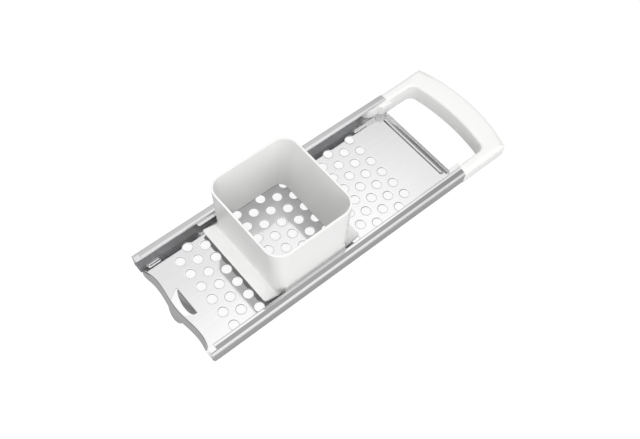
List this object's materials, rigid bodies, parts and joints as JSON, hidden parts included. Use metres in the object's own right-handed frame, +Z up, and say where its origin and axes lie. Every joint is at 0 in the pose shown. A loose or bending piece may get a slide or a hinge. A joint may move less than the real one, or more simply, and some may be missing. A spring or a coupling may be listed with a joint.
{
  "type": "spaetzle maker",
  "caption": "Perforated steel bed with folded rails and a bow handle; a square batter hopper slides along the rails over the holes.",
  "frame": {"origin": "bottom centre of the bounding box: level with the tip of the apron's tongue, midway along and across", "axes": "+X along the rails towards the handle, +Y across the bed, +Z up through the hopper"},
  "size_m": [0.3174, 0.108, 0.0768],
  "materials": {
    "sheet_steel": "bright rolled",
    "handle_plastic": "smooth moulded",
    "hopper_plastic": "smooth moulded"
  },
  "bodies": {
    "bed": {"grater_plate": "sheet_steel", "left_rail": "sheet_steel", "right_rail": "sheet_steel", "front_apron": "sheet_steel", "rim_hook": "sheet_steel", "rear_lip": "sheet_steel", "handle": "handle_plastic"},
    "hopper": {"hopper": "hopper_plastic"}
  },
  "joints": [
    {"name": "hopper_slide", "type": "slide", "parent": "bed", "child": "hopper", "axis": [1, 0, 0], "range_m": [-0.056, 0.0825]}
  ]
}
